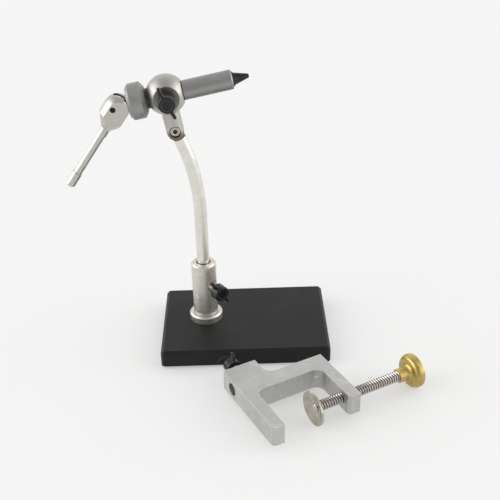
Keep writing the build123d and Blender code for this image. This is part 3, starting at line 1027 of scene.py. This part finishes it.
@dataclass
class Stem(Assembly):
    """Bent stem with its split liner and the screw that the head tilts on."""

    socket_corner: float = 1.73
    socket_flat: float = 1.5
    socket_strength: float = 0.9

    def build(self) -> None:
        """Dresses the stem, with painted shade inside the screw's hex socket."""
        post = joint_place("stem_swivel", RIGHT)
        pivot = joint_place("head_tilt", UP)
        recess = Window(Measure.RADIUS, self.socket_corner, self.socket_flat)
        # painted shade inside the tilt screw's hex socket
        socket = Patch(self.finishes.recess_painted_shade, self.socket_strength, (recess,))
        screw = replace(self.finishes.satin_steel, patches=(socket,))
        self.dress(self.finishes.acetal, "liner_acetal", post, "stem_liner")
        self.dress(self.finishes.bright_steel, "stem_steel", post, "stem")
        self.dress(screw, "tilt_screw_steel", pivot, "tilt_screw")


@dataclass
class Head(Assembly):
    """Ball head on the tilt screw, with a spot face for the head lock and a neck that ends round below."""

    spot_face: float = 10.9
    spot_fade: float = 0.15
    spot_strength: float = 1.0
    neck_end: float = 6.6
    # where the painted shade at the neck's lower end lies, and how strong it is
    neck_shade_width: float = 2.2
    neck_shade_fade: float = 0.8
    neck_shade_strength: float = 0.85

    def build(self) -> None:
        """Dresses the head, with painted shade on the spot face and on the neck's rounded lower end."""
        pivot = joint_place("head_tilt", UP)
        face = Window(Measure.Z, self.spot_fade - self.spot_face, -self.spot_face)
        # painted shade: the spot face is darkened to stand in for a dark reflection
        spot = Patch(self.finishes.spot_face_painted_shade, self.spot_strength, (face,))
        rim = self.neck_end - self.neck_shade_width
        lower = Window(Measure.X, 0.0, -self.neck_shade_width)
        outer = Window(Measure.RADIUS, rim - self.neck_shade_fade, rim)
        # painted shade on the neck's rounded lower end, under the tilt screw
        neck_shade = Patch(self.finishes.neck_end_painted_shade, self.neck_shade_strength, (outer, lower))
        metal = replace(self.finishes.satin_steel, patches=(spot, neck_shade))
        self.dress(metal, "head_steel", pivot, "head_body")


@dataclass
class DrawCollet(Assembly):
    """Rotary sleeve with its washers and ring, and the collet that the drawbar pulls into its mouth."""

    joint: str = "sleeve_rotation"

    def build(self) -> None:
        """Dresses the sleeve and the collet."""
        axis = joint_place(self.joint, UP)
        self.dress(self.finishes.blasted, "sleeve_metal", axis, "sleeve")
        self.dress(self.finishes.blasted, "ring_metal", axis, "adjusting_ring")
        self.dress(self.finishes.bright_steel, "thrust_steel", axis, "thrust_washer")
        self.dress(self.finishes.acetal, "washer_acetal", axis, "front_washer", "drag_ring")
        self.dress(self.finishes.collet_black, "collet_steel", axis, "drawbar", "upper_jaw", "lower_jaw")


@dataclass
class CamLever(Assembly):
    """Lever that swings on its pin and draws the collet back."""

    joint: str = "lever_swing"

    def build(self) -> None:
        """Dresses the lever and its pin."""
        pin = joint_place(self.joint, UP)
        self.dress(self.finishes.lever_steel, "lever_steel", pin, "cam_lever")
        self.dress(self.finishes.black_steel, "pin_steel", pin, "lever_pin")


@dataclass
class WingScrew(Assembly):
    """A lock screw: threaded stud, moulded wing knob and soft plug."""

    name: str
    hub_radius: float = 6.0
    draft: float = 0.12
    hub_round: float = 1.0
    back_round: float = 0.35
    dish: float = 0.12
    dish_radius: float = 3.9
    span: float = 25.0
    thickness: float = 2.8
    depth: float = 5.6
    set_back: float = 0.2
    tip_power: float = 5.0
    edge_power: float = 4.0
    blend_power: float = 14.0
    wing_rows: int = 29
    points_round: int = 120
    crowding: float = 0.46
    tip_share: float = 0.97
    end_gap: float = 0.05
    thread: Thread = Thread(6.0, 1.0, 0.6)

    def __post_init__(self) -> None:
        """Takes the screw's axis from its joint, outwards, and turns x to the tips of the CAD wings.

        The tips lie opposite each other, so their mean direction is the half of the mean doubled angle.
        """
        place = joint_place(f"{self.name}_turn", UP, outward=True)
        local = place.to_local(node_points(f"{self.name}_knob"))
        reach = np.hypot(local[:, 0], local[:, 1])
        tips = local[reach > self.tip_share * reach.max()]
        doubled = np.exp(2j * np.arctan2(tips[:, 1], tips[:, 0]))
        self.place = place.turned(float(np.angle(doubled.mean())) / 2)

    def knob(self) -> Piece:
        """Hub and wings as one polar surface.

        The radius at an angle is a soft maximum of two: the hub's turned profile, and the wing's section, a
        rounded bar whose half length follows the round ends of the paddle and whose half thickness thins at
        its edges.

        Returns:
            The piece.
        """
        low, high = node_span(f"{self.name}_knob", self.place)
        hub = rounded([
            (low, 0.0, 0.0),
            (low, self.hub_radius, self.back_round),
            (high, self.hub_radius - self.draft, self.hub_round),
            (high, self.dish_radius, self.dish / 2),
            (high - self.dish, self.dish_radius - self.dish, self.dish / 2),
            (high - self.dish, 0.0, 0.0),
        ])
        middle = low + self.set_back + self.depth / 2
        rows = middle - self.depth / 2 * np.cos(np.linspace(0, math.pi, self.wing_rows))
        radius = self.hub_radius - self.draft * (rows - low) / (high - low)
        turn = int(np.argmax(hub[:, 0] > middle))
        profile = np.concatenate((hub[:turn], np.stack((rows, radius), -1), hub[turn:]))
        even = np.linspace(0, math.tau, self.points_round, endpoint=False)
        angle = even - self.crowding * np.sin(2 * even)
        share = np.clip((profile[:, :1] - middle) / (self.depth / 2), -1, 1)
        lift = np.sqrt(1 - share**2)
        reach = np.where(lift > 0, (self.span - self.depth) / 2 + self.depth / 2 * lift, 0.0) + WELD
        half = self.thickness / 2 * (1 - np.abs(share) ** self.edge_power) ** (1 / self.edge_power) + WELD
        ends = (np.abs(np.cos(angle)) / reach) ** self.tip_power
        faces = (np.abs(np.sin(angle)) / half) ** self.tip_power
        wing = (ends + faces) ** (-1 / self.tip_power)
        edge = (profile[:, 1:] ** self.blend_power + wing**self.blend_power) ** (1 / self.blend_power)
        edge = np.where(lift > 0, edge, profile[:, 1:])
        local = polar(edge, angle, profile[:, :1])
        return new_piece(f"{self.name}_wing_knob", [(self.place.to_row(local), Seam.AROUND)])

    def stud(self) -> Piece:
        """Threaded stud over the length of the CAD one, just clear of the plug.

        Returns:
            The piece.
        """
        start, end = node_span(f"{self.name}_stud", self.place)
        bar = self.thread.grid(self.place, start + self.end_gap, end)
        return new_piece(f"{self.name}_threaded_stud", [(bar, Seam.NONE)])

    def build(self) -> None:
        """Builds and dresses the screw."""
        body = f"{self.name}_screw"
        plastic = self.finishes.plastic.material(f"{self.name}_plastic", self.effects, self.place)
        start = node_span(f"{self.name}_stud", self.place)[0]
        # the stud's finish has painted shade in its thread roots
        metal = self.thread.dress(self.finishes.screw_steel, self.finishes.recess_painted_shade, start)
        steel = metal.material(f"{self.name}_steel", self.effects, self.place)
        place_piece(self.knob(), body, plastic, f"{self.name}_knob")
        place_piece(self.stud(), body, steel, f"{self.name}_stud")
        self.dress(self.finishes.acetal, f"{self.name}_acetal", self.place, f"{self.name}_plug")


@dataclass
class TableClamp(Assembly):
    """C-shaped clamp with its screw, swivelling pad and brass knob."""

    bevel: float = 0.5
    pad_face: float = 40.3
    pad_thickness: float = 1.4
    seat_gap: float = 0.1
    rivet_neck: float = 2.0
    rivet_head: float = 3.2
    rivet_rise: float = 1.3
    rivet_round: float = 1.04
    rivet_edge: float = 0.1
    neck_edge: float = 0.05
    knob_start: float = 108.4
    neck_radius: float = 5.1
    neck_round: float = 0.6
    neck_length: float = 8.8
    neck_flare: float = 2.6
    back_slope: float = 0.8
    back_radius: float = 12.1
    back_round: float = 2.8
    rim_radius: float = 12.5
    rim_width: float = 3.9
    rim_round: float = 1.3
    step_round: float = 0.12
    knob_length: float = 16.2
    thread_in_knob: float = 8.0
    bore_reach: float = 3.5
    screw_points: int = 48
    knob_points: int = 128
    knob_steps: int = 9
    thread: Thread = Thread(7.75, 1.95, 0.9)

    def __post_init__(self) -> None:
        """Takes the screw's axis from its joint, from the fixed jaw to the knob."""
        self.place = joint_place("clamp_screw_turn", UP, outward=True)

    def screw(self) -> Piece:
        """Threaded bar from the pad into the knob, with the riveted neck that the pad turns on.

        Returns:
            The piece.
        """
        shoulder = self.pad_face + self.pad_thickness + self.seat_gap
        seat = self.pad_face - self.seat_gap
        rivet = rounded([
            (seat - self.rivet_rise, 0.0, 0.0),
            (seat - self.rivet_rise, self.rivet_head, self.rivet_round),
            (seat, self.rivet_head, self.rivet_edge),
            (seat, self.rivet_neck, self.rivet_edge),
            (shoulder + self.seat_gap, self.rivet_neck, self.neck_edge),
            (shoulder + self.seat_gap, 0.0, 0.0),
        ])
        end = self.knob_start + self.thread_in_knob
        bar = self.thread.grid(self.place, shoulder, end, self.screw_points)
        neck = lathe(rivet, self.place, self.screw_points)
        return new_piece("clamp_screw_threaded", [(bar, Seam.NONE), (neck, Seam.AROUND)])

    def knob(self) -> Piece:
        """Turned brass knob: plain neck that flares into a round back, and a rim with a small step.

        Returns:
            The piece.
        """
        disc = self.knob_start + self.neck_length
        end = self.knob_start + self.knob_length
        rim = end - self.rim_width
        profile = rounded([
            (self.knob_start, 0.0, 0.0),
            (self.knob_start, self.neck_radius, self.neck_round),
            (disc, self.neck_radius, self.neck_flare),
            (disc + self.back_slope, self.back_radius, self.back_round),
            (rim, self.back_radius, self.step_round),
            (rim, self.rim_radius, self.step_round),
            (end, self.rim_radius, self.rim_round),
            (end, 0.0, 0.0),
        ], self.knob_steps)
        return new_piece("clamp_brass_knob", [(lathe(profile, self.place, self.knob_points), Seam.AROUND)])

    def build(self) -> None:
        """Builds and dresses the clamp."""
        bore = self.thread.major / 2 + self.seat_gap
        points = bored(node_points("clamp_body"), self.place, self.bore_reach, bore)
        body = cad_piece("clamp_body_bevelled", "clamp_body", points, self.bevel)
        bare = self.finishes.clamp_metal.material("clamp_metal", self.effects)
        place_piece(body, "clamp", bare, "clamp_body")
        pad_back = self.pad_face + self.pad_thickness
        # the screw's finish has painted shade in its thread roots
        metal = self.thread.dress(self.finishes.screw_steel, self.finishes.recess_painted_shade, pad_back)
        steel = metal.material("clamp_screw_steel", self.effects, self.place)
        place_piece(self.screw(), "clamp_screw", steel, "clamp_screw")
        brass = self.finishes.brass.material("knob_brass", self.effects, self.place)
        place_piece(self.knob(), "clamp_screw", brass, "clamp_knob")
        self.dress(self.finishes.pad_steel, "pad_steel", self.place, "clamp_pad")


@dataclass(frozen=True)
class LightWall:
    """A soft patch of the sky: where it lies, how much light it adds or takes, and how fast it fades."""

    facing: tuple[float, float, float]
    level: float
    tightness: float


@dataclass
class Studio:
    """Pale floor, soft light and the camera of the photograph."""

    floor_size: float = 120.0
    floor_points: int = 3
    floor_colour: Colour = (0.85, 0.85, 0.845)
    floor_roughness: float = 0.9
    floor_specular: float = 0.1
    paper_glow: Colour = (0.97, 0.97, 0.965)
    glow_share: float = 0.42
    position: tuple[float, float, float] = (0.002801, -0.587682, 0.410960)
    yaw: float = 0.27
    pitch: float = 29.74
    roll: float = -1.63
    lens: float = 64.76
    sensor: float = 36.0
    sky: tuple[tuple[float, float], ...] = ((0.0, 0.85), (0.25, 0.75), (0.5, 0.64), (0.85, 0.56), (1.0, 0.56))
    walls: tuple[LightWall, ...] = (
        LightWall((-0.95, -0.1, 0.18), 3.1, 6.0),
        LightWall((0.95, 0.0, 0.18), 2.6, 6.0),
        LightWall((0.0, -1.0, 0.1), -0.3, 3.0),
        LightWall((0.0, 0.84, 0.54), 0.45, 5.0),
    )

    def floor(self) -> None:
        """Flat pale sheet, well past the edges of the picture."""
        half = self.floor_size / 2
        edge = np.linspace(-half, half, self.floor_points)
        x, y = np.meshgrid(edge, edge, indexing="ij")
        points = np.stack((x, y, np.zeros_like(x)), -1).reshape(-1, 3)
        mesh = bpy.data.meshes.new("floor")
        faces = grid_quads(self.floor_points, self.floor_points, Seam.NONE)[:, ::-1]
        mesh.from_pydata(points, [], faces.tolist())
        floor = bpy.data.objects.new("floor", mesh)
        bpy.context.scene.collection.objects.link(floor)
        paint = Paint("floor_paper")
        paint.fill(paint.shader, {
            "Base Color": rgba(self.floor_colour),
            "Roughness": self.floor_roughness,
            "Specular IOR Level": self.floor_specular,
        })
        rays = paint.add("ShaderNodeLightPath", {}).outputs
        mirrored = paint.math("MAXIMUM", rays["Is Glossy Ray"], rays["Is Transmission Ray"])
        seen = paint.math("MAXIMUM", rays["Is Camera Ray"], mirrored)
        glow = paint.add("ShaderNodeEmission", {"Color": rgba(self.paper_glow), "Strength": 1.0}).outputs[0]
        values = {0: paint.math("MULTIPLY", seen, self.glow_share), 1: paint.shader.outputs[0], 2: glow}
        paper = paint.add("ShaderNodeMixShader", values).outputs[0]
        paint.fill(paint.output, {"Surface": paper})
        mesh.materials.append(paint.material)

    def light(self) -> None:
        """A soft sky with pale walls of light at both sides and behind, and less light in front."""
        world = bpy.data.worlds.new("soft_sky")
        world.use_nodes = True
        bpy.context.scene.world = world
        tree = Tree(world.node_tree)
        direction = tree.add("ShaderNodeTexCoord", {}).outputs["Generated"]
        height = tree.add("ShaderNodeSeparateXYZ", {0: direction}).outputs[2]
        ramp = tree.add("ShaderNodeValToRGB", {"Fac": height})
        stops = ramp.color_ramp.elements
        low, *middle, high = self.sky
        stops[0].color, stops[1].color = rgba((low[1],) * 3), rgba((high[1],) * 3)
        for position, value in middle:
            stops.new(position).color = rgba((value,) * 3)
        level = ramp.outputs[0]
        for side in self.walls:
            towards = tree.dot(direction, tuple(np.array(side.facing) / np.linalg.norm(side.facing)))
            lobe = tree.math("POWER", tree.math("MAXIMUM", towards, 0.0), side.tightness)
            level = tree.math("ADD", level, tree.math("MULTIPLY", lobe, side.level))
        sky = tree.add("ShaderNodeBackground", {"Color": level, "Strength": 1.0})
        tree.add("ShaderNodeOutputWorld", {"Surface": sky.outputs[0]})

    def camera(self) -> None:
        """Camera as fitted to the plate's edges: yaw to the right, pitch down and roll about its own axis."""
        yaw, pitch, roll = (math.radians(angle) for angle in (self.yaw, self.pitch, self.roll))
        level = math.cos(pitch)
        forward = np.array((math.sin(yaw) * level, math.cos(yaw) * level, -math.sin(pitch)))
        right = np.array((math.cos(yaw), -math.sin(yaw), 0.0))
        above = np.cross(right, forward)
        across = math.cos(roll) * right + math.sin(roll) * above
        data = bpy.data.cameras.new("camera")
        data.sensor_width = self.sensor
        data.lens = self.lens
        camera = bpy.data.objects.new("camera", data)
        camera.matrix_world = Place.on_axis(np.array(self.position), -forward, across).matrix()
        bpy.context.scene.collection.objects.link(camera)
        bpy.context.scene.camera = camera

    def build(self) -> None:
        """Builds the studio."""
        bpy.context.scene.view_settings.view_transform = "Standard"
        self.floor()
        self.light()
        self.camera()
        log.info("studio built")


def main() -> None:
    """Builds the vise, its clamp and the studio."""
    logging.basicConfig(level=logging.INFO, format="%(name)s: %(message)s")
    looks = (Finishes(), Effects())
    assemblies = (
        Pedestal(*looks),
        Stem(*looks),
        Head(*looks),
        DrawCollet(*looks),
        CamLever(*looks),
        WingScrew(*looks, "head_lock"),
        WingScrew(*looks, "post_lock"),
        WingScrew(*looks, "clamp_lock"),
        TableClamp(*looks),
    )
    for assembly in assemblies:
        assembly.build()
        log.info("built %s", type(assembly).__name__)
    Studio().build()


if __name__ == "__main__":
    main()
